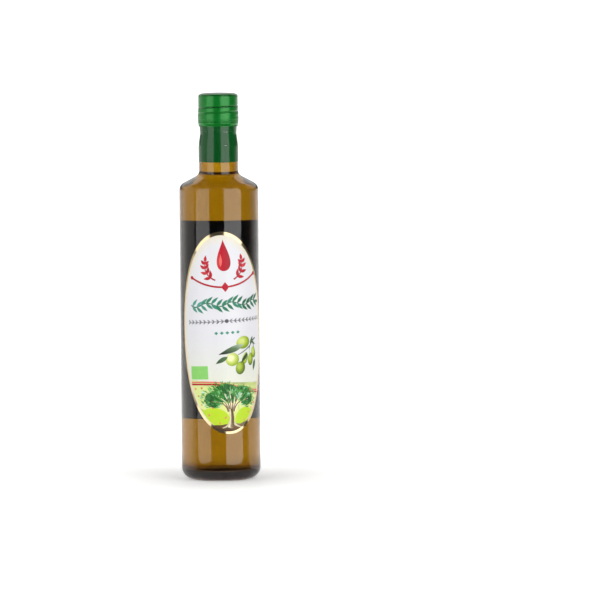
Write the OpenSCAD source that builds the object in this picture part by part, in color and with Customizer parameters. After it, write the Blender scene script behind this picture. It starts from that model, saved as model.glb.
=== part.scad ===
// Olive oil bottle: a tall round tinted glass bottle filled with oil, with a roll-on aluminium cap,
// a shrink sleeve round the neck, an oval label on the front and a plain label on the back.
// The origin is the centre of the underside, +Z is up and the oval label faces -Y.

/* [Body] */
// Outer diameter of the body
body_d = 60; // [50:0.5:80]
// Height from the table to where the side starts to turn in
body_h = 218.7; // [150:0.5:260]
// Thickness of the side wall
wall = 3; // [2:0.1:4.5]
// Radius of the rounded heel
heel_r = 9; // [4:0.5:12]
// Radius of the rounded shoulder
shoulder_r = 6.5; // [4:0.5:12]
// Slope of the shoulder above level
shoulder_slope = 28; // [20:1:45]

/* [Base] */
// Thickness of the glass in the middle of the base
base_t = 6; // [3:0.5:9]
// Depth of the hollow under the base
push_up = 4.5; // [2:0.5:10]
// Width of the flat ring that the bottle stands on
bearing_w = 1.5; // [0.5:0.25:4]

/* [Neck] */
// Outer diameter of the neck
neck_d = 29.8; // [25:0.1:34]
// Diameter of the bore through the neck
bore_d = 21; // [15:0.5:24]
// Radius where the shoulder meets the neck
neck_fillet = 4; // [1:0.1:6]
// Length of the plain part of the neck
neck_plain = 22.5; // [10:0.1:40]
// Length of the part that narrows under the cap
neck_taper = 9; // [4:0.5:16]
// How much the neck narrows there, on the radius
neck_narrows = 1.3; // [0.5:0.1:2]
// Height of the ring moulded just under the cap
ring_h = 5; // [3:0.5:8]
// How far that ring stands out
ring_out = 0.5; // [0.1:0.1:0.6]

/* [Cap] */
// Outer diameter of the cap
cap_d = 30.8; // [26:0.1:36]
// Height of the cap
cap_h = 25.2; // [18:0.2:36]
// Thickness of the cap's side
cap_wall = 0.6; // [0.4:0.1:1.2]
// Thickness of the cap's top, with its liner
cap_top = 1.6; // [1:0.1:3]
// Radius of the cap's top edge
cap_edge_r = 2; // [1:0.1:4]
// How far the rolled thread stands out
thread_out = 0.2; // [0.1:0.05:0.5]

/* [Sleeve] */
// Thickness of the shrunk film
sleeve_t = 0.2; // [0.1:0.05:0.5]
// Bare neck left between the shoulder and the sleeve
sleeve_gap = 9.7; // [3:0.1:15]

/* [Oil] */
// Height of the oil above the foot of the neck
oil_in_neck = 14; // [-20:1:25]

/* [Labels] */
// Thickness of both labels
label_t = 0.15; // [0.1:0.05:0.4]
// Width of the oval label, measured round the bottle
front_w = 73; // [40:1:88]
// Bare side between the table and the foot of the oval label
front_below = 36.3; // [10:0.1:60]
// Bare side between the top of the oval label and the shoulder
front_above = 29.4; // [5:0.1:60]
// How far the oval label is turned anticlockwise from upright
front_turn = 2.5; // [-5:0.5:5]
// Width of the back label, measured round the bottle
back_w = 70; // [40:1:80]
// Bare side between the table and the foot of the back label
back_below = 43.8; // [10:0.1:60]
// Bare side between the top of the back label and the shoulder
back_above = 23.9; // [5:0.1:60]
// Radius of the back label's corners
back_corner = 3; // [1:0.5:10]

/* [Output] */
// Which sub-part to draw

/* [Hidden] */
$fn = 96;
r_body = body_d/2;
r_in = r_body - wall;
r_neck = neck_d/2;
r_bore = bore_d/2;
r_foot = r_body - heel_r;                      // outside of the bearing ring
r_hollow = r_foot - bearing_w;                 // where the push-up starts
rise = tan(shoulder_slope);
lean = [sin(shoulder_slope), cos(shoulder_slope)];
turn_r = r_body - shoulder_r;                  // centre of the shoulder's arc
cone_r = turn_r + shoulder_r*lean[0];
cone_z = body_h + shoulder_r*lean[1];
root_z = cone_z + (cone_r - r_neck)*rise;      // where the shoulder meets the neck
in_turn = shoulder_r - wall;
in_cone_r = turn_r + in_turn*lean[0];
in_cone_z = body_h + in_turn*lean[1];
in_root_z = in_cone_z + (in_cone_r - r_bore)*rise;
taper_z = root_z + neck_plain;
notch_z = taper_z + neck_taper;
r_notch = r_neck - neck_narrows;
cap_z = notch_z + ring_h;                      // bottom edge of the cap
r_cap = cap_d/2;
r_finish = r_cap - cap_wall;                   // the neck fills the cap's skirt
lip_z = cap_z + cap_h - cap_top;
oil_z = in_root_z + oil_in_neck;
dome_r = (pow(r_hollow, 2) + pow(push_up, 2))/(2*push_up);
floor_z = push_up + base_t;                    // top of the glass in the middle
floor_drop = 3;                                // how much lower the floor is at its edge
in_heel = 7;                                   // inner radius at the heel
r_floor = r_in - in_heel;
front_h = body_h - front_below - front_above;
back_h = body_h - back_below - back_above;
floor_r = (pow(r_floor, 2) + pow(floor_drop, 2))/(2*floor_drop);

// Points of an oval, turned, wrapped once round a cylinder of radius r and seen from the front.
function wrapped_oval(r, w, h, turn, n = 72) = [
  for (i = [0:n - 1])
    let(a = 360*i/n, s = w/2*cos(a), t = h/2*sin(a))
    [r*sin((s*cos(turn) - t*sin(turn))/r*180/PI), s*sin(turn) + t*cos(turn)]
];

// Points of a rectangle with rounded corners, wrapped the same way.
function wrapped_rect(r, w, h, c, n = 8) = [
  for (q = [0:3], i = [0:n])
    let(a = 90*(q + i/n),
        cx = (q == 0 || q == 3 ? 1 : -1)*(w/2 - c),
        cz = (q < 2 ? 1 : -1)*(h/2 - c))
    [r*sin((cx + c*cos(a))/r*180/PI), cz + c*sin(a)]
];

// The neck's outline from the plain part up to the cap, grown by t.
function neck_line(t) = [
  [r_neck + t, taper_z],
  [r_notch + t, notch_z],
  [r_notch + ring_out + t, notch_z + 0.8],
  [r_notch + ring_out + t, cap_z]
];

module glass_outside() {
  translate([r_foot, heel_r]) circle(heel_r);
  square([r_foot, heel_r]);
  translate([0, heel_r]) square([r_body, body_h - heel_r]);
  translate([turn_r, body_h]) circle(shoulder_r);
  polygon([[0, body_h], [turn_r, body_h], [cone_r, cone_z], [r_neck, root_z], [0, root_z]]);
  square([r_neck, taper_z]);
  neck_root();
  polygon(concat([[0, taper_z]], neck_line(0), [[0, cap_z]]));
  translate([0, cap_z]) square([r_finish, lip_z - cap_z]);
}

// The small hollow curve where the shoulder turns up into the neck.
module neck_root() {
  away = neck_fillet*tan((90 - shoulder_slope)/2);
  difference() {
    polygon([
      [r_neck, root_z], [r_neck + away*lean[1], root_z - away*lean[0]],
      [r_neck + neck_fillet, root_z + away], [r_neck, root_z + away]
    ]);
    translate([r_neck + neck_fillet, root_z + away]) circle(neck_fillet);
  }
}

module floor_dome() {
  intersection() {
    translate([0, floor_z - floor_r]) circle(floor_r);
    translate([0, floor_z - floor_drop]) square([r_floor, floor_drop]);
  }
}

// The space inside the glass up to height top.
module inside(top) {
  side_z = floor_z - floor_drop + in_heel;
  difference() {
    union() {
      translate([r_floor, side_z]) circle(in_heel);
      translate([0, floor_z - floor_drop]) square([r_floor, in_heel]);
      translate([0, side_z]) square([r_in, body_h - side_z]);
      translate([turn_r, body_h]) circle(in_turn);
      polygon([
        [0, body_h], [turn_r, body_h], [in_cone_r, in_cone_z],
        [r_bore, in_root_z], [0, in_root_z]
      ]);
      translate([0, side_z]) square([r_bore, top - side_z]);
    }
    floor_dome();
  }
}

module bottle() {
  color("DarkGoldenrod", 0.6) rotate_extrude() difference() {
    glass_outside();
    inside(lip_z + 1);
    intersection() {
      translate([0, push_up - dome_r]) circle(dome_r);
      square([r_hollow, push_up + 1]);
    }
  }
}

module oil() {
  color("Goldenrod") rotate_extrude() inside(oil_z);
}

module cap() {
  thread_z = cap_z + cap_h*0.37;
  color("DarkGreen") rotate_extrude() difference() {
    union() {
      translate([0, cap_z]) square([r_cap - thread_out, cap_h - cap_edge_r]);
      translate([0, cap_z]) square([r_cap, cap_h*0.13]);
      translate([0, thread_z - 2]) square([r_cap, 4]);
      translate([0, cap_z]) square([r_cap - thread_out - cap_edge_r, cap_h]);
      translate([r_cap - thread_out - cap_edge_r, cap_z + cap_h - cap_edge_r]) circle(cap_edge_r);
    }
    square([r_finish, lip_z]);
  }
}

module neck_sleeve() {
  z0 = root_z + sleeve_gap;
  color("DarkSlateGray") rotate_extrude() difference() {
    union() {
      translate([0, z0]) square([r_neck + sleeve_t, taper_z - z0]);
      polygon(concat([[0, taper_z]], neck_line(sleeve_t), [[0, cap_z]]));
    }
    translate([0, z0 - 1]) square([r_neck, taper_z - z0 + 1]);
    polygon(concat([[0, taper_z]], neck_line(0), [[0, cap_z]]));
  }
}

// A thin skin on the body where the outline is, on the -Y side.
module skin(outline) {
  intersection() {
    rotate_extrude() translate([r_body, heel_r]) square([label_t, body_h - heel_r]);
    rotate([90, 0, 0]) linear_extrude(r_body + 5) polygon(outline);
  }
}

module front_label() {
  color("White") skin([
    for (p = wrapped_oval(r_body, front_w, front_h, front_turn)) p + [0, front_below + front_h/2]
  ]);
}

module back_label() {
  color("WhiteSmoke") rotate([0, 0, 180]) skin([
    for (p = wrapped_rect(r_body, back_w, back_h, back_corner)) p + [0, back_below + back_h/2]
  ]);
}

bottle();
oil();
cap();
neck_sleeve();
front_label();
back_label();
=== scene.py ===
import math
import random

import bmesh
import bpy
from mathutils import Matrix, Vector, noise


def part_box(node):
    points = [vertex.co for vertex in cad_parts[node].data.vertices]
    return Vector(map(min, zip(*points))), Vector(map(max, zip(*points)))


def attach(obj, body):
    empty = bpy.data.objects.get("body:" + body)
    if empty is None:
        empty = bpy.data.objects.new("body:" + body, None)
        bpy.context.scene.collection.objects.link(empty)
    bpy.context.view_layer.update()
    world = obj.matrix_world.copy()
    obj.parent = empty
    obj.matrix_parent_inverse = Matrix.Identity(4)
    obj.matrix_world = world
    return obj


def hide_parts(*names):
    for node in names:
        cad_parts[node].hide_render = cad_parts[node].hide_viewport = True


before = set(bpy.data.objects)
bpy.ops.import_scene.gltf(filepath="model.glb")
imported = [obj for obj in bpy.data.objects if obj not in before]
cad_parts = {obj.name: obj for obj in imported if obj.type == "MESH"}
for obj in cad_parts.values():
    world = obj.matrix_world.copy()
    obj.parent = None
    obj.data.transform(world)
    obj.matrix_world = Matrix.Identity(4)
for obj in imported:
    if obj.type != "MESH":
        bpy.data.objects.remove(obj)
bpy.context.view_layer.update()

# The bottle: amber soda-lime glass, blown in a two-part mould. It has a stippled ring to stand on, a hollow
# under the base, a straight side, a coned shoulder and a neck that narrows just under the cap. Its wall is
# never quite even, so what it mirrors wavers a little, and the mould leaves two faint seams.
MM = 0.001
body_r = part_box("bottle")[1].x / MM
lip_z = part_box("bottle")[1].z / MM
oil_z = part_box("oil")[1].z / MM
inner_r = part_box("oil")[1].x / MM
cap_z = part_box("cap")[0].z / MM
cap_top_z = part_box("cap")[1].z / MM
sleeve_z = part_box("neck_sleeve")[0].z / MM
neck_r = 14.9
bore_r = 10.5
heel_r = 9
hollow_r = 19.5
push_up = 4.5
floor_z = 10.5
floor_drop = 3
floor_heel = 6
turn_z = 218.7
shoulder_r = 6.5
slope = math.radians(28)
cap_skirt = 14.8
taper_z = 253.1
notch_z = 262.1
notch_r = 13.6
ring_out = 0.3
root_r = 4.6
bore_bend = 3
waver_out, ripple_out = 0.05, 0.012
seam_out, seam_w = 0.05, 0.35
stipple_deep, stipple_high = 0.3, 1.5
SEGMENTS = 360
STIPPLES = 80


def arc(r, z, radius, start, end, steps):
    """Points of an arc about (r, z), with its angles in degrees from the +r direction."""
    angles = [math.radians(start + (end - start) * i / steps) for i in range(steps + 1)]
    return [(r + radius * math.cos(a), z + radius * math.sin(a)) for a in angles]


def line(start, end, steps):
    """Points along a straight line, without its first."""
    return [tuple(a + (b - a) * i / steps for a, b in zip(start, end)) for i in range(1, steps + 1)]


def dome(radius, height, steps):
    """Points of a shallow round dome of that radius and height, from its top at the axis to its edge."""
    ball = (radius ** 2 + height ** 2) / (2 * height)
    end = math.asin(radius / ball)
    turns = [end * i / steps for i in range(steps + 1)]
    return [(ball * math.sin(t), ball * (math.cos(t) - 1)) for t in turns]


def link(name, mesh, *materials):
    """A new object in the scene, smooth, with its materials."""
    for m in materials:
        mesh.materials.append(m)
    mesh.polygons.foreach_set("use_smooth", [True] * len(mesh.polygons))
    mesh.set_sharp_from_angle(angle=math.radians(38))
    piece = bpy.data.objects.new(name, mesh)
    bpy.context.scene.collection.objects.link(piece)
    return piece


def lathe(name, profile, shape=None, segments=SEGMENTS, closed=False):
    """A mesh turned from a profile of (r, z) in mm. shape(r, z, angle, step) gives a point's new (r, z)."""
    shape = shape or (lambda r, z, angle, step: (r, z))
    verts, rings = [], []
    for step, (r, z) in enumerate(profile):
        if r < 1e-6:
            rings.append([len(verts)])
            verts.append((0, 0, shape(0, z, 0, step)[1] * MM))
            continue
        rings.append(range(len(verts), len(verts) + segments))
        for i in range(segments):
            a = 2 * math.pi * i / segments
            rr, zz = shape(r, z, a, step)
            verts.append((rr * MM * math.cos(a), rr * MM * math.sin(a), zz * MM))
    faces = []
    pairs = list(zip(rings, rings[1:]))
    if closed:
        pairs.append((rings[-1], rings[0]))
    for low, high in pairs:
        if len(low) + len(high) == 2:
            continue
        for i in range(segments):
            j = (i + 1) % segments
            if len(low) == 1:
                faces.append((low[0], high[j], high[i]))
            elif len(high) == 1:
                faces.append((low[i], low[j], high[0]))
            else:
                faces.append((low[i], low[j], high[j], high[i]))
    mesh = bpy.data.meshes.new(name)
    mesh.from_pydata(verts, [], faces)
    mesh.validate()
    return mesh


def cone_end(r_turn, radius, r_end):
    """Where the shoulder's cone, which leaves an arc of that radius, reaches the radius r_end."""
    r = r_turn + radius * math.sin(slope)
    z = turn_z + radius * math.cos(slope)
    return z + (r - r_end) * math.tan(slope)


turn_r = body_r - shoulder_r
wall = body_r - inner_r
root_z = cone_end(turn_r, shoulder_r, neck_r)
reach = root_r * math.tan((math.pi / 2 - slope) / 2)
wet_r = shoulder_r - wall


def cavity(grow, top):
    """The inside of the glass from the floor's middle up to height top, grown by a little into the wall."""
    low = floor_z - floor_drop
    side = low + floor_heel
    points = [(r, z + floor_z - grow) for r, z in dome(inner_r - floor_heel, floor_drop, 14)]
    points += arc(inner_r - floor_heel, side, floor_heel + grow, -90, 0, 14)[1:]
    points += line((inner_r + grow, side), (inner_r + grow, turn_z), 24)
    points += arc(turn_r, turn_z, wet_r + grow, 0, 90 - math.degrees(slope), 8)[1:]
    neck = (bore_r + grow, cone_end(turn_r, wet_r + grow, bore_r + grow))
    points += line(points[-1], neck, 6)[:-1]
    reach_in = bore_bend * math.tan((math.pi / 2 - slope) / 2)
    points = points[:-2]
    points += arc(neck[0] + bore_bend, neck[1] + reach_in, bore_bend, -90 - math.degrees(slope), -180, 8)
    points += line(points[-1], (bore_r + grow, top), 10)
    return points


outside = [(r, z + push_up) for r, z in dome(hollow_r, push_up, 16)]
outside += line((hollow_r, 0), (body_r - heel_r, 0), 4)
outside += arc(body_r - heel_r, heel_r, heel_r, -90, 0, 16)[1:]
outside += line((body_r, heel_r), (body_r, turn_z), 44)
outside += arc(turn_r, turn_z, shoulder_r, 0, 90 - math.degrees(slope), 14)[1:]
outside += line(outside[-1], (neck_r + reach * math.cos(slope), root_z - reach * math.sin(slope)), 14)
outside += arc(neck_r + root_r, root_z + reach, root_r, -90 - math.degrees(slope), -180, 6)[1:]
outside += line((neck_r, root_z + reach), (neck_r, taper_z), 14)
outside += line((neck_r, taper_z), (notch_r, notch_z), 12)
ring_r, ring_z = notch_r + ring_out, notch_z + 1.2
outside += line((notch_r, notch_z), (ring_r, ring_z), 2)
outside += line((ring_r, ring_z), (ring_r, cap_z), 3)
outside += line((ring_r, cap_z), (cap_skirt, cap_z), 1)
outside += line((cap_skirt, cap_z), (cap_skirt, lip_z), 3)
inside = cavity(0, oil_z) + [(bore_r, lip_z)]


def glass_shape(r, z, angle, step):
    """Stipples the standing ring, wavers the outer wall and raises the mould's seams."""
    if step >= len(outside):
        return r, z
    if z < stipple_high and r > hollow_r - 1:
        share = (stipple_high - z) / stipple_high * min(1, (r - hollow_r + 1) / 2)
        return r, z + stipple_deep * share * (1 - math.cos(STIPPLES * angle))
    spot = Vector((math.cos(angle), math.sin(angle), z * 0.012)) * 1.6
    waver = waver_out * noise.noise(spot) + ripple_out * noise.noise(spot * 4)
    seam = seam_out * math.exp(-((math.sin(angle) * body_r) / seam_w) ** 2)
    if heel_r < z < root_z:
        r += waver * min(1, (z - heel_r) / 5) + seam
    return r, z


def linear(code, alpha=1):
    """A linear colour from an sRGB hex code."""
    parts = [int(code[i:i + 2], 16) / 255 for i in (1, 3, 5)]
    return [p / 12.92 if p <= 0.04045 else ((p + 0.055) / 1.055) ** 2.4 for p in parts] + [alpha]


def material(name):
    """An empty material."""
    m = bpy.data.materials.new(name)
    m.use_nodes = True
    m.node_tree.nodes.clear()
    return m


def add(m, kind, sockets=None, **settings):
    """Adds a node to a material. A socket takes a number, a colour or the output of another node."""
    n = m.node_tree.nodes.new(kind)
    for key, value in settings.items():
        setattr(n, key, value)
    for key, value in (sockets or {}).items():
        if isinstance(value, bpy.types.NodeSocket):
            m.node_tree.links.new(value, n.inputs[key])
        else:
            n.inputs[key].default_value = value
    return n


# Amber soda-lime glass, fire-polished: a hard gloss outside and a deep yellow-brown where it is thick.
# Where oil wets it, it mirrors almost nothing, so the shine there is turned down.
amber_glass = material("amber_soda_lime_glass")
wetted = add(amber_glass, "ShaderNodeAttribute", attribute_name="wetted")
shine = add(amber_glass, "ShaderNodeMapRange", {"Value": wetted.outputs["Fac"], "To Min": 1, "To Max": 0})
body = add(amber_glass, "ShaderNodeBsdfPrincipled", {
    "Base Color": linear("#ffffff"), "Roughness": 0.01, "IOR": 1.52, "Transmission Weight": 1,
    "Specular Tint": shine.outputs["Result"]})
tint = add(amber_glass, "ShaderNodeVolumeAbsorption", {"Color": linear("#e5d300"), "Density": 450})
add(amber_glass, "ShaderNodeOutputMaterial", {
    "Surface": body.outputs["BSDF"], "Volume": tint.outputs["Volume"]})

glass = link("glass", lathe("glass", outside + inside[::-1], glass_shape), amber_glass)
# The profile's first point is one vertex on the axis, and each other point of the outside is a ring of them.
first_inside = 1 + (len(outside) - 1) * SEGMENTS
wet = glass.data.attributes.new("wetted", "FLOAT", "POINT")
wet.data.foreach_set("value", [
    float(v.index >= first_inside and v.co.z < (oil_z + 0.1) * MM) for v in glass.data.vertices])
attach(glass, "root")
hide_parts("bottle")

# The oil: extra clear olive oil, filled by machine up to a level in the neck. It wets the glass all round,
# so it is drawn a hair's breadth into the wall, and its surface climbs the bore in a small meniscus.
into_wall = 0.2
meniscus = 1.2
filling = cavity(into_wall, oil_z)
filling += [(bore_r * share, oil_z - meniscus * (1 - share ** 6))
            for share in (0.98, 0.94, 0.88, 0.8, 0.65, 0.45, 0.2, 0)]

# Olive oil, filtered: clear, yellow-green in a spoon and golden through the width of a bottle.
olive_oil = material("filtered_olive_oil")
body = add(olive_oil, "ShaderNodeBsdfPrincipled", {
    "Base Color": linear("#ffffff"), "Roughness": 0, "IOR": 1.47, "Transmission Weight": 1,
    "Specular Tint": linear("#000000")})
tint = add(olive_oil, "ShaderNodeVolumeAbsorption", {"Color": linear("#e9df00"), "Density": 94})
add(olive_oil, "ShaderNodeOutputMaterial", {
    "Surface": body.outputs["BSDF"], "Volume": tint.outputs["Volume"]})

oil = link("oil_filling", lathe("oil_filling", filling), olive_oil)
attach(oil, "root")
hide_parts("oil")

# The cap: a roll-on closure drawn from thin aluminium sheet, lacquered green. Its thread is rolled into it on
# the bottle, so a shallow groove winds round it, and a scored band at its foot breaks when it is opened.
cap_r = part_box("cap")[1].x / MM
edge_r = 2.6
crown = 0.55
pitch = 4.1
groove_top = cap_top_z - 7.6
groove_turns = 2.6
groove_start = math.radians(150)
groove_deep, groove_half_w = 0.45, 0.5
bulge_out, bulge_z, bulge_half_h = 0.35, cap_z + 7.5, 4.5
score_deep, score_half_w, score_gap = 0.16, 0.22, 1.3
dent_out = 0.07
band_z = cap_z + 3.6
bridges = 12


def groove(z, angle):
    """How deep the rolled thread is at that height and angle, from 0 to 1."""
    part = (groove_start - angle) / (2 * math.pi) % 1
    deep = 0
    for k in range(3):
        along = k + part
        if along <= groove_turns:
            centre = groove_top - pitch * along
            ends = min(1, along * 8, (groove_turns - along) * 4)
            deep = max(deep, ends * math.exp(-((z - centre) / groove_half_w) ** 2))
    return deep


def cap_shape(r, z, angle, step):
    """Presses in the thread and the scored band with its bridges, and dents the sheet a little."""
    if step >= cap_outer:
        return r, z
    if z < cap_top_z - edge_r - 0.5 and r > cap_r - 1:
        bulge = math.exp(-((z - bulge_z) / bulge_half_h) ** 2)
        r += bulge_out * bulge - groove_deep * groove(z, angle)
        for height in (0, score_gap):
            r -= score_deep * math.exp(-((z - band_z - height) / score_half_w) ** 2)
        spot = Vector((math.cos(angle) * 2.2, math.sin(angle) * 2.2, z * 0.75))
        r += dent_out * noise.noise(spot) * min(1, (cap_top_z - z) / 8)
        between = abs(angle * bridges / (2 * math.pi) % 1 - 0.5) < 0.4
        r -= 0.25 * between * math.exp(-((z - band_z) / 0.2) ** 2)
    return r, z


side_r = cap_r - 0.3
cap_side = [(side_r - 0.7, cap_z), (side_r - 0.6, cap_z + 0.1)]
cap_side += line(cap_side[-1], (side_r - 0.05, cap_z + 1.5), 5)
cap_side += line(cap_side[-1], (side_r + 0.15, cap_z + 2.6), 5)
cap_side += line(cap_side[-1], (side_r - 0.1, cap_top_z - crown - edge_r), 100)
cap_side += arc(side_r - 0.1 - edge_r, cap_top_z - crown - edge_r, edge_r, 0, 84, 12)[1:]
cap_side += [(r, cap_top_z + z) for r, z in dome(side_r - edge_r, crown, 8)[::-1]]
cap_outer = len(cap_side)
under = [(0, lip_z), (cap_skirt, lip_z), (cap_skirt, cap_z + 0.4), (cap_skirt + 0.15, cap_z)]

# Aluminium with a green stoving lacquer: metal shows through the colour, under a smooth clear gloss.
# The sheet was drawn and then spun as it was rolled on, which leaves fine rings round it.
green_lacquer = material("green_lacquered_aluminium")
spot = add(green_lacquer, "ShaderNodeTexCoord")
ring_mm, ring_long_mm, patch_mm = 0.9, 125, 5.556
rings = add(green_lacquer, "ShaderNodeMapping", {
    "Vector": spot.outputs["Object"],
    "Scale": (1 / (ring_long_mm * MM), 1 / (ring_long_mm * MM), 1 / (ring_mm * MM))})
spun = add(green_lacquer, "ShaderNodeTexNoise", {"Vector": rings.outputs["Vector"], "Scale": 1, "Detail": 3})
patchy = add(green_lacquer, "ShaderNodeTexNoise", {
    "Vector": spot.outputs["Object"], "Scale": 1 / (patch_mm * MM), "Detail": 3})
shade = add(green_lacquer, "ShaderNodeMix", {
    "Factor": patchy.outputs["Fac"], "A": linear("#00641c"), "B": linear("#007823")}, data_type="RGBA")
dull = add(green_lacquer, "ShaderNodeMapRange", {
    "Value": spun.outputs["Fac"], "To Min": 0.26, "To Max": 0.42})
relief = add(green_lacquer, "ShaderNodeBump", {
    "Height": spun.outputs["Fac"], "Strength": 0.25, "Distance": 0.05 * MM})
body = add(green_lacquer, "ShaderNodeBsdfPrincipled", {
    "Base Color": shade.outputs["Result"], "Metallic": 0.4, "Roughness": dull.outputs["Result"],
    "Specular IOR Level": 0.2, "Coat Weight": 0.5, "Coat Roughness": 0.14, "Coat IOR": 1.45,
    "Normal": relief.outputs["Normal"]})
add(green_lacquer, "ShaderNodeOutputMaterial", {"Surface": body.outputs["BSDF"]})

cap = link("roll_on_cap", lathe("roll_on_cap", cap_side + under, cap_shape, closed=True), green_lacquer)
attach(cap, "root")
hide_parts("cap")

# The neck sleeve: a tube of dark green PVC film, shrunk on with hot air. It follows the neck's taper and the
# ring under the cap, and shrinking leaves it with soft lengthwise ripples and a slightly uneven foot.
film = 0.2
crease_out, fine_crease_out, most_out = 0.09, 0.05, 0.05
foot_waver = 0.12
sleeve = [(neck_r - 0.05, sleeve_z), (neck_r + film * 0.6, sleeve_z - 0.02), (neck_r + film, sleeve_z + 0.15)]
sleeve += line(sleeve[-1], (neck_r + film, taper_z - 2), 24)
sleeve += [(neck_r + film + out, taper_z + up) for out, up in (
    (-0.03, -1), (-0.14, 0.2), (-0.3, 1.5), (-0.53, 3.2), (-0.84, 5.3), (-1.12, 7.3))]
sleeve += [(notch_r + film + out, notch_z + up) for out, up in (
    (0.05, -1), (0.06, 0.3), (0.13, 1.4), (0.21, 2.6), (0.3, 3.8))]
sleeve.append((notch_r + film + 0.36, cap_z))
sleeve_outer = len(sleeve)
sleeve += [
    (ring_r - 0.05, cap_z), (ring_r - 0.05, ring_z + 0.1),
    (notch_r - 0.05, notch_z), (neck_r - 0.05, taper_z)]


def sleeve_shape(r, z, angle, step):
    """Soft ripples along the film and an uneven foot."""
    if step >= sleeve_outer:
        return r, z
    spot = Vector((math.cos(angle) * 1.7, math.sin(angle) * 1.7, z * 0.035))
    crease = crease_out * noise.noise(spot) + fine_crease_out * noise.noise(spot * 3.1)
    foot = foot_waver * noise.noise(Vector((math.cos(angle), math.sin(angle), 5)) * 1.5) if step < 3 else 0
    return r + min(crease, most_out), z + foot


# Polyvinyl chloride film, printed green on the inside and heat-shrunk: deep colour under a wet-looking gloss.
green_film = material("green_shrunk_pvc_film")
spot = add(green_film, "ShaderNodeTexCoord")
streak_mm, streak_long_mm = 2, 16.667
stretch = add(green_film, "ShaderNodeMapping", {
    "Vector": spot.outputs["Object"],
    "Scale": (1 / (streak_mm * MM), 1 / (streak_mm * MM), 1 / (streak_long_mm * MM))})
streaks = add(green_film, "ShaderNodeTexNoise", {
    "Vector": stretch.outputs["Vector"], "Scale": 1, "Detail": 2})
shade = add(green_film, "ShaderNodeMix", {
    "Factor": streaks.outputs["Fac"], "A": linear("#023a12"), "B": linear("#054d1c")}, data_type="RGBA")
relief = add(green_film, "ShaderNodeBump", {
    "Height": streaks.outputs["Fac"], "Strength": 0.12, "Distance": 0.05 * MM})
body = add(green_film, "ShaderNodeBsdfPrincipled", {
    "Base Color": shade.outputs["Result"], "Roughness": 0.14, "IOR": 1.54, "Specular IOR Level": 0.33,
    "Normal": relief.outputs["Normal"]})
add(green_film, "ShaderNodeOutputMaterial", {"Surface": body.outputs["BSDF"]})

neck_sleeve = link("shrunk_sleeve", lathe("shrunk_sleeve", sleeve, sleeve_shape, closed=True), green_film)
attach(neck_sleeve, "root")
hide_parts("neck_sleeve")

# The front label: an oval of coated paper, die-cut, printed and glued on wet, so it sits a little askew.
# A strip of gold foil is stamped round its edge, with a cream tone that fades inwards from it.
label_w = 73
label_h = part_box("front_label")[1].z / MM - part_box("front_label")[0].z / MM
label_z = (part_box("front_label")[1].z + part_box("front_label")[0].z) / 2 / MM
label_turn = math.radians(2.5)
paper_r = body_r + 0.15
glue_r = body_r - 0.08
foil_w = 1.25


def wrap(u, v, r, middle_z=label_z, turn=label_turn, facing=0):
    """A place on a label, in mm from its middle, as a point at radius r round the bottle."""
    s = u * math.cos(turn) - v * math.sin(turn)
    z = u * math.sin(turn) + v * math.cos(turn) + middle_z
    a = s / body_r + facing
    return Vector((r * math.sin(a), -r * math.cos(a), z)) * MM


def oval_sheet(name, rings, sides, outer, inner_share=0.0, r_low=glue_r, r_high=paper_r):
    """A thin oval or oval ring wrapped round the bottle, with an attribute for the distance to its edge."""
    shares = [inner_share + (1 - inner_share) * i / rings for i in range(rings + 1)]
    verts, edge, faces = [], [], []
    levels = []
    for r in (r_high, r_low):
        level = []
        for t in shares:
            ring = []
            for i in range(sides if t > 1e-9 else 1):
                a = 2 * math.pi * i / sides
                ring.append(len(verts))
                verts.append(wrap(outer[0] * t * math.cos(a), outer[1] * t * math.sin(a), r))
                edge.append((1 - t) * min(outer))
            level.append(ring)
        levels.append(level)

    def band(a, b):
        for i in range(sides):
            j = (i + 1) % sides
            if len(a) == 1:
                faces.append((a[0], b[i], b[j]))
            else:
                faces.append((a[i], b[i], b[j], a[j]))

    top, low = levels
    for a, b in zip(top, top[1:]):
        band(a, b)
    band(top[-1], low[-1])
    for a, b in zip(low[::-1], low[-2::-1]):
        if len(b) == 1:
            for i in range(sides):
                faces.append((a[(i + 1) % sides], a[i], b[0]))
        else:
            band(a, b)
    if inner_share > 0:
        band(low[0], top[0])
    mesh = bpy.data.meshes.new(name)
    mesh.from_pydata(verts, [], faces)
    mesh.validate()
    mesh.attributes.new("to_edge", "FLOAT", "POINT").data.foreach_set("value", edge)
    return mesh


# Coated label paper, offset printed and varnished: a cool white with an even, soft gloss.
coated_paper = material("coated_label_paper")
to_edge = add(coated_paper, "ShaderNodeAttribute", attribute_name="to_edge")
glow = add(coated_paper, "ShaderNodeMapRange", {
    "Value": to_edge.outputs["Fac"], "From Min": foil_w, "From Max": foil_w + 3.5, "To Min": 1, "To Max": 0})
spot = add(coated_paper, "ShaderNodeTexCoord")
height = add(coated_paper, "ShaderNodeSeparateXYZ", {"Vector": spot.outputs["Object"]})
low_down = add(coated_paper, "ShaderNodeMapRange", {
    "Value": height.outputs["Z"], "From Min": 0.072, "From Max": 0.108, "To Min": 0.55, "To Max": 0})
fibre_mm = 0.35
fibres = add(coated_paper, "ShaderNodeTexNoise", {
    "Vector": spot.outputs["Object"], "Scale": 1 / (fibre_mm * MM), "Detail": 2})
white = add(coated_paper, "ShaderNodeMix", {
    "Factor": low_down.outputs["Result"], "A": linear("#cfcfd3"), "B": linear("#d4d9b7")}, data_type="RGBA")
cream = add(coated_paper, "ShaderNodeMix", {
    "Factor": glow.outputs["Result"], "A": white.outputs["Result"], "B": linear("#d4ccb9")}, data_type="RGBA")
relief = add(coated_paper, "ShaderNodeBump", {
    "Height": fibres.outputs["Fac"], "Strength": 0.1, "Distance": 0.02 * MM})
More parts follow.
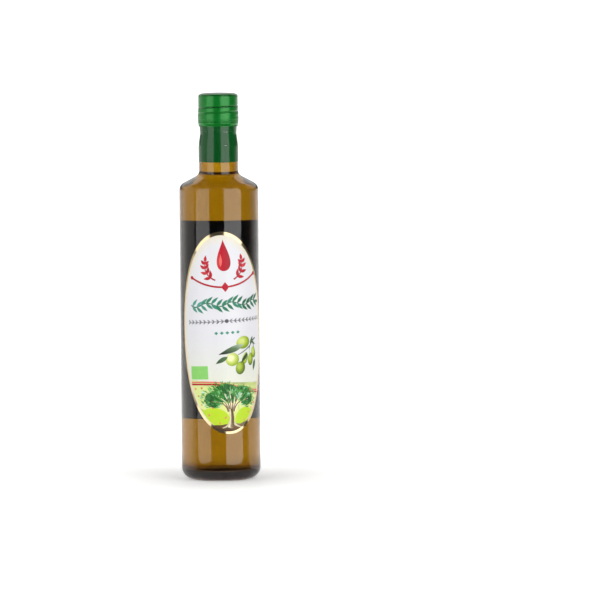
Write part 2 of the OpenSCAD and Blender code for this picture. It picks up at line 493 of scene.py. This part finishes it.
body = add(coated_paper, "ShaderNodeBsdfPrincipled", {
    "Base Color": cream.outputs["Result"], "Roughness": 0.42, "Normal": relief.outputs["Normal"]})
add(coated_paper, "ShaderNodeOutputMaterial", {"Surface": body.outputs["BSDF"]})

# Hot-stamped gold foil: a bright warm metal that flares where a lamp meets it and goes dark between.
gold_foil = material("hot_stamped_gold_foil")
spot = add(gold_foil, "ShaderNodeTexCoord")
press_mm = 1.111
press = add(gold_foil, "ShaderNodeTexNoise", {
    "Vector": spot.outputs["Object"], "Scale": 1 / (press_mm * MM), "Detail": 2})
dull = add(gold_foil, "ShaderNodeMapRange", {"Value": press.outputs["Fac"], "To Min": 0.08, "To Max": 0.2})
body = add(gold_foil, "ShaderNodeBsdfPrincipled", {
    "Base Color": linear("#cbb78f"), "Metallic": 1, "Roughness": dull.outputs["Result"]})
add(gold_foil, "ShaderNodeOutputMaterial", {"Surface": body.outputs["BSDF"]})

# The back of that paper, wet with casein glue and seen through amber glass and oil: a dull, dark grey, partly
# the wet glue's and partly painted shade for the dim inside of the bottle.
glued_reverse_painted_shade = material("glued_paper_reverse_painted_shade")
body = add(glued_reverse_painted_shade, "ShaderNodeBsdfPrincipled", {"Base Color": linear("#57565a"), "Roughness": 0.8})
add(glued_reverse_painted_shade, "ShaderNodeOutputMaterial", {"Surface": body.outputs["BSDF"]})


def glue(piece):
    """Gives the faces that look towards the bottle's axis the glued reverse's dark grey, which is partly
    painted shade.
    """
    piece.data.materials.append(glued_reverse_painted_shade)
    for face in piece.data.polygons:
        out = Vector((face.center.x, face.center.y, 0)).normalized()
        if face.normal.dot(out) < -0.5:
            face.material_index = 1


half = (label_w / 2, label_h / 2)
front = link("front_label_paper", oval_sheet("front_label_paper", 28, 144, half), coated_paper)
glue(front)
foil = link("front_label_foil", oval_sheet(
    "front_label_foil", 2, 144, half, 1 - foil_w / half[0], paper_r - 0.05, paper_r + 0.02), gold_foil)
for piece in (front, foil):
    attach(piece, "root")
    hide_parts("front_label")

# The front label's print: offset inks in flat fields and simple shapes. An oil drop between two sprigs over
# a swag, a garland, a fine laurel line, an olive branch, and an olive tree on a green field at the foot.
# Each ink is a film of its own on the paper; where shapes cross, the later one lies a little higher. The
# whole print sits a little to the right of the oval's middle.
LAYER = 0.006
print_off = 1.7


def oval(u, v, half_u, half_v, lean=0, steps=22):
    """The outline of an oval, leaning by some degrees."""
    c, d = math.cos(math.radians(lean)), math.sin(math.radians(lean))
    turns = [2 * math.pi * i / steps for i in range(steps)]
    return [(u + half_u * math.cos(t) * c - half_v * math.sin(t) * d,
             v + half_u * math.cos(t) * d + half_v * math.sin(t) * c) for t in turns]


def leaf(u, v, length, width, lean, bend=0.0, steps=7):
    """The outline of a leaf that grows from (u, v) at an angle in degrees, and bends sideways by bend."""
    c, d = math.cos(math.radians(lean)), math.sin(math.radians(lean))
    sides = []
    for side in (1, -1):
        shares = [i / steps for i in range(steps + 1)]
        row = [(length * t, side * width / 2 * math.sin(math.pi * t ** 0.8) + bend * t * t) for t in shares]
        sides.append(row)
    ring = sides[0] + sides[1][-2:0:-1]
    return [(u + x * c - y * d, v + x * d + y * c) for x, y in ring]


def curve(start, pull, end, steps=14):
    """Points of a curve from start to end that leans towards the point pull."""
    shares = [i / steps for i in range(steps + 1)]
    return [tuple((1 - t) ** 2 * a + 2 * t * (1 - t) * b + t * t * c for a, b, c in zip(start, pull, end))
            for t in shares]


def stroke(path, first, last):
    """The outline of a stroke along a path, from one width to another."""
    left, right = [], []
    for i, (u, v) in enumerate(path):
        a, b = path[max(i - 1, 0)], path[min(i + 1, len(path) - 1)]
        along = math.atan2(b[1] - a[1], b[0] - a[0])
        w = (first + (last - first) * i / (len(path) - 1)) / 2
        left.append((u - w * math.sin(along), v + w * math.cos(along)))
        right.append((u + w * math.sin(along), v - w * math.cos(along)))
    return left + right[::-1]


def inside_foil(outline, margin=2.6):
    """Pulls an outline's points back to the inside of the foil."""
    a, b = half[0] - margin, half[1] - margin
    reach = [max(1, math.hypot((u + print_off) / a, v / b)) for u, v in outline]
    return [((u + print_off) / k - print_off, v / k) for (u, v), k in zip(outline, reach)]


def stamp(name, shapes, low, high, middle_z=label_z, turn=label_turn, facing=0, off=0.0, cell=1.0):
    """A mesh of thin closed shapes wrapped round the bottle from radius low to high. A shape is an outline
    in mm, the tone of its ink from 0 to 1 (a number, or a function of u and v) and its layer."""
    mesh_all = bmesh.new()
    tone_at = mesh_all.verts.layers.float.new("tone")
    for outline, tone, layer in shapes:
        one = bmesh.new()
        one.faces.new([one.verts.new((u, v, 0)) for u, v in outline])
        bmesh.ops.triangulate(one, faces=one.faces[:])
        for axis in (0, 1):
            if axis and not callable(tone):
                continue
            least, most = min(p[axis] for p in outline), max(p[axis] for p in outline)
            step = math.ceil(least / cell) * cell
            while step < most:
                plane = (step, 0, 0) if axis == 0 else (0, step, 0)
                bmesh.ops.bisect_plane(
                    one, geom=one.verts[:] + one.edges[:] + one.faces[:], dist=1e-5,
                    plane_co=plane, plane_no=(1 - axis, axis, 0))
                step += cell * (2 if axis else 1)
        one.verts.index_update()
        top_r = high + layer * LAYER
        places = [(v.co.x, v.co.y) for v in one.verts]
        upper = [mesh_all.verts.new(wrap(u + off, v, top_r, middle_z, turn, facing)) for u, v in places]
        lower = [mesh_all.verts.new(wrap(u + off, v, low, middle_z, turn, facing)) for u, v in places]
        for row in (upper, lower):
            for vert, (u, v) in zip(row, places):
                vert[tone_at] = tone(u, v) if callable(tone) else tone
        for face in one.faces:
            ids = [v.index for v in face.verts]
            if face.normal.z < 0:
                ids.reverse()
            mesh_all.faces.new([upper[k] for k in ids])
            mesh_all.faces.new([lower[k] for k in reversed(ids)])
        for edge in one.edges:
            if len(edge.link_faces) == 1:
                a, b = (v.index for v in edge.verts)
                mesh_all.faces.new((upper[a], upper[b], lower[b], lower[a]))
        one.free()
    bmesh.ops.recalc_face_normals(mesh_all, faces=mesh_all.faces[:])
    mesh = bpy.data.meshes.new(name)
    mesh_all.to_mesh(mesh)
    mesh_all.free()
    return mesh


def ink(name, stops, grain=0.12, patch_mm=1.2):
    """An offset ink under varnish. Its tone runs through the stops, and a mottle unsettles it a little."""
    m = material(name)
    tone = add(m, "ShaderNodeAttribute", attribute_name="tone")
    place = add(m, "ShaderNodeTexCoord")
    mottle = add(m, "ShaderNodeTexNoise", {
        "Vector": place.outputs["Object"], "Scale": 1 / (patch_mm * MM), "Detail": 3})
    shift = add(m, "ShaderNodeMapRange", {"Value": mottle.outputs["Fac"], "To Min": -grain, "To Max": grain})
    mixed = add(m, "ShaderNodeMath", {0: tone.outputs["Fac"], 1: shift.outputs["Result"]})
    ramp = add(m, "ShaderNodeValToRGB", {"Fac": mixed.outputs["Value"]})
    marks = ramp.color_ramp.elements
    while len(marks) < len(stops):
        marks.new(0.5)
    for mark, (spot, colour) in zip(marks, stops):
        mark.position = spot
        mark.color = linear(colour)
    body = add(m, "ShaderNodeBsdfPrincipled", {
        "Base Color": ramp.outputs["Color"], "Roughness": 0.4, "Specular IOR Level": 0.35})
    add(m, "ShaderNodeOutputMaterial", {"Surface": body.outputs["BSDF"]})
    return m


def print_on_front(name, shapes, colour):
    """Prints shapes on the front label as one piece."""
    piece = link(name, stamp(name, shapes, paper_r - 0.05, paper_r + 0.01, off=print_off), colour)
    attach(piece, "root")
    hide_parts("front_label")


# Warm red offset ink: crimson in its solids, paler where the tint is light.
red_ink = ink("red_offset_ink", [(0, "#860018"), (0.5, "#ad001f"), (1, "#dd6660")])
draw = random.Random(7)
red = []
drop = [(7.6 * math.sin(t) * math.sin(t / 2) ** 1.6, 58.6 + 12.0 * math.cos(t))
        for t in (2 * math.pi * i / 40 for i in range(40))]
red.append((drop, lambda u, v: 0.42 - 0.05 * u, 0))
red.append((leaf(-2.6, 50.0, 9.5, 2.2, 84, 0.6), 0.95, 1))
for side in (-1, 1):
    stem = curve((side * 7.0, 40.0), (side * 16.5, 44.5), (side * 14.2, 54.5), 16)
    red.append((stroke(stem, 1.2, 0.6), 0.2, 0))
    for k in range(4):
        at = min(3 + 4 * k, 14)
        (u, v), (next_u, next_v) = stem[at:at + 2]
        away = math.degrees(math.atan2(next_v - v, next_u - u))
        for twist in (46, -46):
            red.append((leaf(u, v, 6.0 - 0.5 * k, 2.5, away + twist), 0.35 + 0.35 * draw.random(), 1))
    red.append((leaf(stem[-1][0], stem[-1][1] - 0.5, 5.2, 2.4, 90 + side * 8), 0.5, 1))
swag = curve((-26.4, 42.4), (0.3, 26.5), (26, 43.0), 30)
red.append((stroke(swag, 1.4, 1.4), 0.35, 0))
red.append(([(-2.9, 34.6), (0.2, 30.8), (3.3, 34.6), (0.2, 38.4)], 0.45, 1))
for u, v in (swag[0], swag[-1]):
    red.append((oval(u, v, 1.4, 1.4), 0.4, 1))


def field_top(u):
    """The height of the green field's upper edge, a soft wave that falls to the right."""
    t = min(1, max(0, (u + 16) / 46))
    return -37.6 - 9.2 * t * t * (3 - 2 * t)


wave = [(u, field_top(u)) for u in range(-31, 30)]
red.append((stroke([(u, v - 0.6) for u, v in wave], 1.3, 1.3), 0.35, 1))
red.append((stroke([(u, v + 1.0) for u, v in wave], 1.0, 1.0), 0.95, 1))
print_on_front("red_print", red, red_ink)

# Blue-green to deep green offset ink for the garland and its lozenges.
garland_ink = ink("garland_green_offset_ink", [(0, "#0b4632"), (0.5, "#1b704b"), (1, "#4d978a")])
garland = []
stem = [(u / 2, 21.6 + 1.5 * math.sin(u / 2 * 0.33)) for u in range(-57, 57)]
garland.append((stroke(stem, 0.9, 0.7), 0.3, 0))
for k in range(14):
    u, v = stem[3 + k * 8]
    for side in (1, -1):
        shade = 0.85 - 0.045 * k + 0.3 * (draw.random() - 0.5)
        lean = side * (44 + 10 * draw.random())
        garland.append((leaf(u, v, 6.6 + draw.random(), 2.3, lean, -side * 0.7), shade, 1 + k % 2))
garland.append((leaf(stem[-1][0] - 0.5, stem[-1][1], 4.5, 2.4, -12), 0.3, 3))
for k in range(-2, 3):
    u = 4.2 * k
    garland.append(([(u - 1.5, 0), (u, -1.3), (u + 1.5, 0), (u, 1.3)], 0.8, 0))
print_on_front("garland_print", garland, garland_ink)

# Grey-black offset ink for the fine laurel line.
grey_ink = ink("grey_offset_ink", [(0, "#46474c"), (1, "#96989d")])
laurel = [(stroke([(-31, 8.4), (0, 8.9), (31, 8.4)], 0.45, 0.45), 0.2, 0)]
for k in range(-9, 10):
    turned = 1 if k > 0 else -1
    for side in (1, -1):
        if k:
            lean = side * 38 if k > 0 else 180 - side * 38
            laurel.append((leaf(3.4 * k - turned, 8.8, 2.8, 1.0, lean), 0.2 + 0.4 * draw.random(), 1))
laurel.append((oval(0, 8.9, 1.5, 1.5), 0.1, 2))
print_on_front("laurel_print", laurel, grey_ink)

# Process inks for the olive branch: yellow-green fruit with a pale bloom, grey-green leaves, dark twigs.
fruit_ink = ink("olive_fruit_offset_inks", [
    (0, "#26320e"), (0.3, "#5c7413"), (0.55, "#93ab22"), (0.8, "#c3cf70"), (1, "#eef2c8")], 0.05)
leaf_ink = ink("olive_leaf_offset_inks", [
    (0, "#1f2f1c"), (0.45, "#4c6b45"), (0.8, "#9aab92"), (1, "#cfd8c8")])


def fruit(u, v, half_u, half_v, lean, ripe, layer):
    """An olive as a field of colour that pales towards its upper left."""
    def tone(x, y):
        away = math.hypot((x - u + half_u * 0.25) / half_u, (y - v - half_v * 0.25) / half_v)
        return ripe - 0.5 * max(0, away - 0.35)
    return (oval(u, v, half_u, half_v, lean, 28), tone, layer)


fruits = [
    fruit(13.6, -20.3, 2.5, 4.6, -22, 0.78, 1), fruit(23.0, -16.6, 2.4, 4.3, 8, 0.72, 1),
    fruit(12.6, -8.2, 6.0, 4.7, 12, 0.80, 3), fruit(3.0, -20.4, 5.3, 4.9, 20, 0.93, 3),
    fruit(19.2, -21.5, 2.7, 4.8, -6, 0.66, 2), fruit(9.2, -27.2, 4.0, 5.0, -18, 0.62, 2)]
print_on_front("olive_fruit_print", fruits, fruit_ink)
branch = [
    (leaf(12.8, -9.6, 21.5, 4.6, 200, -0.8, 12), lambda u, v: 0.62 - 0.03 * (12 - u) + 0.07 * (v + 13), 5),
    (leaf(-0.6, -18.2, 10.6, 3.4, 204, 0.6), lambda u, v: 0.25 + 0.03 * (u + 8), 5),
    (leaf(19.5, -10.5, 7.0, 2.4, 62, 0.4), 0.3, 5), (leaf(20.5, -7.5, 6.5, 1.8, -40, 0.5), 0.5, 6),
    (leaf(16.0, -16.5, 9.5, 2.6, 232, -0.5), 0.12, 5), (leaf(24.5, -22.0, 9.0, 3.0, 250, 0.5), 0.3, 4),
    (stroke(curve((25.5, -6.0), (20.0, -8.0), (18.0, -13.5)), 1.1, 0.7), 0.1, 6),
    (stroke(curve((21.5, -8.0), (23.5, -10.0), (23.3, -13.0)), 0.8, 0.5), 0.15, 6),
    (stroke(curve((18.5, -11.5), (14.5, -14.5), (7.6, -17.2)), 0.8, 0.5), 0.15, 6),
    (stroke(curve((18.4, -12.5), (18.0, -15.0), (19.0, -17.5)), 0.7, 0.5), 0.85, 6)]
print_on_front("olive_leaf_print", branch, leaf_ink)

# Light green offset ink: a plain mark and the paler tints of the meadow.
meadow_ink = ink("meadow_offset_inks", [
    (0, "#7cc05f"), (0.3, "#c6d487"), (0.55, "#d2da88"), (0.8, "#c0d04c"), (1, "#adcf12")], 0.07, 2.5)
meadow_edge = inside_foil([(u, field_top(u)) for u in range(-34, 33)]) + inside_foil([
    (half[0] * math.cos(math.radians(t)), half[1] * math.sin(math.radians(t))) for t in range(-39, -150, -3)])
meadow = [
    ([(-31.0, -24.4), (-31.0, -34.4), (-16.2, -34.4), (-16.2, -24.4)], 0.0, 0),
    (meadow_edge, lambda u, v: 0.40 + 0.35 * max(0, (-44 - v) / 30), 0)]
for u, v, half_u, half_v in ((-14, -68.5, 13.5, 12.5), (11.5, -68, 9, 11)):
    meadow.append((inside_foil(oval(u, v, half_u, half_v, 0, 36)), 0.97, 2))
for k in range(16):
    u, v = -26 + 3.2 * k + draw.random(), -44 - 9 * draw.random() - abs(k - 6)
    sway = 4 * (draw.random() - 0.5)
    blade = curve((u, v - 6), (u + sway, v - 2), (u + sway, v + 3), 6)
    if math.hypot(blade[0][0] / half[0], blade[0][1] / half[1]) < 0.86:
        meadow.append((stroke(blade, 0.9, 0.3), 0.18, 1))
print_on_front("meadow_print", meadow, meadow_ink)

# Orange-pink offset ink for the small meadow flowers, brown inks for the trunk and the ground.
flower_ink = ink("flower_offset_ink", [(0, "#b5652f"), (1, "#d98f60")])
flowers = []
flower_spots = (
    (-27.5, -41.5), (-22, -41), (-25, -47), (-22.5, -53.5), (-14, -56), (-17, -61.5), (-4.5, -64),
    (-9, -68), (10, -66.5), (14.5, -61), (20.5, -54.5), (23.5, -48.5), (17.5, -58), (26, -49.5))
for u, v in flower_spots:
    size, spin = 0.55 + 0.3 * draw.random(), draw.random()
    star = [(u + size * (1 + 0.35 * math.cos(5 * a)) * math.cos(a + spin),
             v + size * (1 + 0.35 * math.cos(5 * a)) * math.sin(a + spin))
            for a in (2 * math.pi * i / 20 for i in range(20))]
    flowers.append((star, draw.random(), 3))
print_on_front("flower_print", flowers, flower_ink)

bark_ink = ink("bark_offset_inks", [
    (0, "#3f2a16"), (0.3, "#6d5030"), (0.6, "#968768"), (1, "#efe6c4")], 0.2, 0.8)
ground = inside_foil(oval(-0.5, -74.2, 15.5, 5.6, 0, 40), 1.9)
wood = [(ground, lambda u, v: 0.22 + 0.012 * u + 0.06 * (v + 72), 3)]
for side in (-1, 1):
    root = curve((side * 7.5, -71.6), (side * 2.2, -70.8), (side * 0.6, -66.0))
    wood.append((stroke(root, 0.5, 2.4), 0.8, 4))
bole = curve((-1.2, -72.0), (0.9, -66.0), (-0.2, -57.5))
wood.append((stroke(bole, 4.2, 2.8), lambda u, v: 0.5 - 0.17 * u, 5))
for away, shade in ((-0.9, 0.98), (0.3, 0.1), (1.1, 0.2)):
    wood.append((stroke([(u + away * (1 + 0.02 * (-58 - v)), v) for u, v in bole[1:]], 0.3, 0.7), shade, 6))
limb_ends = ((-15, -51.5), (-10.5, -47), (-5.5, -45), (-1, -44), (4, -44.5), (9, -46.5), (14, -51))
for k, (u, v) in enumerate(limb_ends):
    limb = curve((0.15 * u, -59.5), (0.25 * u, -53 + 0.25 * abs(u) - 2), (u, v), 8)
    wood.append((stroke([(x + 0.6, y) for x, y in limb], 1.2, 0.4), 1.0, 4))
    wood.append((stroke(limb, 1.2, 0.3), 0.35 + 0.2 * (k % 2), 5))
print_on_front("tree_wood_print", wood, bark_ink)

# Mixed greens, blue-tinged in the lights, for the crown: a dark mass and some hundreds of small leaves.
crown_ink = ink("crown_offset_inks", [
    (0, "#0b4213"), (0.35, "#2f7a35"), (0.65, "#5da848"), (0.85, "#8fc3a0"), (1, "#c3dfd0")], 0.06)
masses = (
    (-12.5, -49.5, 9.5, 7.5), (-3, -43.5, 12, 6.5), (13, -50, 8, 7.2), (9, -45, 10, 5.5), (1, -49, 8, 5))
crown = []
for u, v, half_u, half_v in masses:
    ragged = [(u + (x - u) * (0.82 + 0.18 * draw.random()), v + (y - v) * (0.82 + 0.18 * draw.random()))
              for x, y in oval(u, v, half_u * 0.86, half_v * 0.86, 0, 40)]
    crown.append((ragged, lambda x, y: 0.16 + 0.3 * noise.noise(Vector((x, y, 3)) * 0.3), 3 - (v > -46)))
for k in range(430):
    u, v, half_u, half_v = masses[k % 5 if k % 5 < 4 or k % 2 else 0]
    t, away = 2 * math.pi * draw.random(), 0.25 + 0.75 * math.sqrt(draw.random())
    u, v = u + half_u * away * math.cos(t), v + half_v * away * math.sin(t)
    lean = math.degrees(math.atan2(v + 58, u)) + 40 * (draw.random() - 0.5)
    patch = noise.noise(Vector((u, v, 0)) * 0.28)
    tone = min(1, max(0, 0.42 + 0.55 * patch + 0.35 * (draw.random() - 0.5) + 0.25 * (away > 0.85)))
    if v > -58 and v < field_top(u) + 1:
        crown.append((leaf(u, v, 2.0 + 1.6 * draw.random(), 0.75, lean, 0, 3), tone, 5 + k % 7))
print_on_front("tree_crown_print", crown, crown_ink)

# The back label: a rectangle of the same paper with round corners, opposite the front one. Its reverse, a
# dark grey that is partly painted shade, is what darkens the middle of the bottle; its face is bare but for
# plain bands and fine rules.
back_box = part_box("back_label")
back_w, back_h = 70, (back_box[1].z - back_box[0].z) / MM
back_z = (back_box[1].z + back_box[0].z) / 2 / MM
back_corner = 3
corners = []
for k, (side_u, side_v) in enumerate(((1, 1), (-1, 1), (-1, -1), (1, -1))):
    corners += arc(side_u * (back_w / 2 - back_corner), side_v * (back_h / 2 - back_corner), back_corner,
                   90 * k, 90 * k + 90, 6)
plain_paper = ink("back_label_paper", [(0, "#e6e6e8"), (1, "#ecebe6")])


def behind_label(name, shapes, colour, low=paper_r - 0.05, high=paper_r + 0.01):
    """Makes a piece of the back label."""
    mesh = stamp(name, shapes, low, high, back_z, 0, math.pi)
    piece = link(name, mesh, colour)
    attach(piece, "root")
    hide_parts("back_label")
    return piece


# Painted shade: the label's reverse gets the dark grey that stands partly for the dim inside of the bottle.
glue(behind_label("back_label_paper", [(corners, 0.3, 0)], plain_paper, glue_r, paper_r))


def bar(u, v, width, height):
    """The outline of an upright rectangle about its middle."""
    return [(u - width / 2, v - height / 2), (u + width / 2, v - height / 2),
            (u + width / 2, v + height / 2), (u - width / 2, v + height / 2)]


behind_label("back_label_red_print", [
    (bar(0, 61.5, 58, 1.2), 0.4, 0), (bar(0, -66.5, 58, 1.2), 0.4, 0)], red_ink)
sprig = [(bar(0, 52, 58, 12), 0.25, 0)]
for k in range(-5, 6):
    for side in (1, -1):
        sprig.append((leaf(5 * k, 52, 5.0, 2.2, side * 48), 0.95, 1))
behind_label("back_label_green_print", sprig, garland_ink)
rules = []
for k in range(11):
    rules.append((bar(-2 * (k % 3), 38 - 3.6 * k, 54 - 4 * (k % 3), 0.7), 0.6, 0))
for k in range(7):
    rules.append((bar(0, -14 - 5.2 * k, 54, 0.35), 0.4, 0))
for u in (-27, 6, 27):
    rules.append((bar(u, -29.6, 0.35, 31.5), 0.4, 1))
behind_label("back_label_grey_print", rules, grey_ink)

# The camera and the studio: a pale floor and wall, two tall soft lamps that stripe the glass, and a weak
# one that greys its left edge.
view_turn = math.radians(8.0)
towards_camera = Vector((-math.sin(view_turn), -math.cos(view_turn), 0))
rightwards = Vector((math.cos(view_turn), -math.sin(view_turn), 0))
rise = math.radians(4.5)
distance = 4.4
aim = rightwards * 0.0607 + Vector((0, 0, 0.1349))
camera_data = bpy.data.cameras.new("camera")
camera_data.lens = 348.9
camera_data.sensor_width = 36
camera = bpy.data.objects.new("camera", camera_data)
camera.location = aim + (towards_camera * math.cos(rise) + Vector((0, 0, math.sin(rise)))) * distance
look = (aim - camera.location).to_track_quat("-Z", "Y").to_matrix().to_4x4()
roll = math.radians(-0.46)
camera.rotation_euler = look.to_euler()
camera.rotation_euler.rotate_axis("Z", roll)
bpy.context.scene.collection.objects.link(camera)
bpy.context.scene.camera = camera


def lamp(name, start, end, away, low, high, glow):
    """A tall soft lamp that spans the azimuths start to end, in degrees rightwards from the camera's side."""
    middle = math.radians((start + end) / 2)
    place = (towards_camera * math.cos(middle) + rightwards * math.sin(middle)) * away
    data = bpy.data.lights.new(name, "AREA")
    data.shape = "RECTANGLE"
    data.size = 2 * away * math.tan(math.radians(abs(end - start) / 2))
    data.size_y = high - low
    data.energy = glow * math.pi * data.size * data.size_y
    softbox = bpy.data.objects.new(name, data)
    softbox.location = place + Vector((0, 0, (low + high) / 2))
    softbox.rotation_euler = (-place).to_track_quat("-Z", "Y").to_euler()
    softbox.visible_camera = False
    bpy.context.scene.collection.objects.link(softbox)


lamp_away, lamp_low, lamp_high = 0.9, -0.085, 1.1
lamp("right_softbox", 15, 67, lamp_away, lamp_low, lamp_high, 2.8)
lamp("left_softbox", -27, -70, lamp_away, lamp_low, lamp_high, 2.05)
lamp("left_fill", -75, -128, lamp_away, -0.15, 1.0, 0.7)

# Matt white on a floor that curves up into a wall all round, with painted light and shade. It glows, though
# it is no lamp, round the bottle and low down behind it, and shines through it. A dim band over that, which
# doesn't glow and is coloured a darker grey as painted shade, keeps the cap's top dark, and over the band it
# glows again.
# Far out, the side towards the camera doesn't glow and is coloured grey as painted shade, so the glass stays
# dark between its bright stripes.
backdrop_with_painted_light = material("matt_white_backdrop_painted_light_and_shade")
lit_turn = math.radians(4)
strip_top = 2
strip_stops = ((0.26, 1), (0.42, 0), (1.1, 0), (1.44, 0.75))
pool_from, pool_to, room_from, room_to = 0.035, 0.2, 0.4, 1.6
spot = add(backdrop_with_painted_light, "ShaderNodeTexCoord")
flat = add(backdrop_with_painted_light, "ShaderNodeVectorMath", {
    0: spot.outputs["Object"], 1: (1, 1, 0)}, operation="MULTIPLY")
far = add(backdrop_with_painted_light, "ShaderNodeVectorMath", {0: flat.outputs["Vector"]}, operation="LENGTH")
way = add(backdrop_with_painted_light, "ShaderNodeVectorMath", {0: flat.outputs["Vector"]}, operation="NORMALIZE")
lit_way = rightwards * math.sin(lit_turn) - towards_camera * math.cos(lit_turn)
behind = add(backdrop_with_painted_light, "ShaderNodeVectorMath", {
    0: way.outputs["Vector"], 1: lit_way}, operation="DOT_PRODUCT")
lit_side = add(backdrop_with_painted_light, "ShaderNodeMapRange", {
    "Value": behind.outputs["Value"], "From Min": 0.1, "From Max": 0.97}, interpolation_type="SMOOTHSTEP")
up = add(backdrop_with_painted_light, "ShaderNodeSeparateXYZ", {"Vector": spot.outputs["Object"]})
level = add(backdrop_with_painted_light, "ShaderNodeMapRange", {
    "Value": up.outputs["Z"], "From Min": 0, "From Max": strip_top})
strip = add(backdrop_with_painted_light, "ShaderNodeValToRGB", {"Fac": level.outputs["Result"]})
marks = strip.color_ramp.elements
while len(marks) < len(strip_stops):
    marks.new(0.5)
for mark, (height, share) in zip(marks, strip_stops):
    mark.position = height / strip_top
    mark.color = (share, share, share, 1)
# Painted light: the floor round the bottle glows, more the further out it is, up to 20 cm.
pool = add(backdrop_with_painted_light, "ShaderNodeMapRange", {
    "Value": far.outputs["Value"], "From Min": pool_from, "From Max": pool_to,
    "To Min": 0.35, "To Max": 0.95})
outer = add(backdrop_with_painted_light, "ShaderNodeMapRange", {
    "Value": far.outputs["Value"], "From Min": room_from, "From Max": room_to},
    interpolation_type="SMOOTHSTEP")
# Painted light: far out, floor and wall glow only on the side behind the bottle.
lit = add(backdrop_with_painted_light, "ShaderNodeMath", {0: lit_side.outputs["Result"], 1: 1.05}, operation="MULTIPLY")
bright = add(backdrop_with_painted_light, "ShaderNodeMix", {
    "Factor": outer.outputs["Result"], "A": pool.outputs["Result"], "B": lit.outputs["Value"]})
# Painted light: the glow is cut off in the dim band and comes back over it.
glow = add(backdrop_with_painted_light, "ShaderNodeMath", {
    0: bright.outputs["Result"], 1: strip.outputs["Color"]}, operation="MULTIPLY")
# Painted shade: far out, away from the side behind the bottle, floor and wall are coloured a darker grey.
near = add(backdrop_with_painted_light, "ShaderNodeMapRange", {
    "Value": far.outputs["Value"], "From Min": 0.5, "From Max": room_to, "To Min": 1, "To Max": 0})
out_of_painted_shade = add(backdrop_with_painted_light, "ShaderNodeMath", {
    0: lit_side.outputs["Result"], 1: near.outputs["Result"]}, operation="MAXIMUM")
white_and_painted_shade = add(backdrop_with_painted_light, "ShaderNodeMix", {
    "Factor": out_of_painted_shade.outputs["Value"], "A": linear("#a8a8a8"), "B": linear("#e4e3e1")}, data_type="RGBA")
# Painted shade: the dim band is coloured a darker grey still.
white_and_painted_dim_band = add(backdrop_with_painted_light, "ShaderNodeMix", {
    "Factor": strip.outputs["Color"], "A": linear("#8c8c8c"), "B": white_and_painted_shade.outputs["Result"]}, data_type="RGBA")
# Painted light: this emission makes floor and wall glow, though they are no lamp.
body = add(backdrop_with_painted_light, "ShaderNodeBsdfPrincipled", {
    "Base Color": white_and_painted_dim_band.outputs["Result"], "Roughness": 0.6, "Emission Color": linear("#ffffff"),
    "Emission Strength": glow.outputs["Value"]})
add(backdrop_with_painted_light, "ShaderNodeOutputMaterial", {"Surface": body.outputs["BSDF"]})
near_r, far_r, wall_r, wall_h, bend_r = 60, 1000, 5100, 5000, 900
ROUND = 96
cove = line((far_r, 0), (wall_r - bend_r, 0), 8)
cove += arc(wall_r - bend_r, bend_r, bend_r, -90, 0, 12)[1:] + [(wall_r, wall_h)]
floor = link("floor", lathe("floor", [(near_r, 0), (0, 0)], None, ROUND), backdrop_with_painted_light)
halves = []
for name, side in (("floor_front", 1), ("floor_back", -1)):
    ring = lathe(name, [(far_r, 0), (near_r, 0)], None, ROUND)
    cut = bmesh.new()
    cut.from_mesh(ring)
    frontness = {f: f.calc_center_median().normalized().dot(towards_camera) for f in cut.faces}
    away = [f for f in cut.faces if frontness[f] * side < 0.1 * side]
    bmesh.ops.delete(cut, geom=away, context="FACES")
    cut.to_mesh(ring)
    cut.free()
    halves.append(link(name, ring, backdrop_with_painted_light))
# The glass doesn't mirror the floor in front, so the lamps' stripes run down to its foot.
halves[0].visible_glossy = False
wall = link("curved_wall", lathe("curved_wall", cove[::-1] + [(far_r, 0)], None, ROUND), backdrop_with_painted_light)

room = bpy.data.worlds.new("room")
room.use_nodes = True
room.node_tree.nodes["Background"].inputs["Color"].default_value = linear("#ffffff")
room.node_tree.nodes["Background"].inputs["Strength"].default_value = 0.1
bpy.context.scene.world = room
bpy.context.scene.view_settings.view_transform = "Standard"
bpy.context.scene.cycles.max_bounces = 32
bpy.context.scene.cycles.transmission_bounces = 32
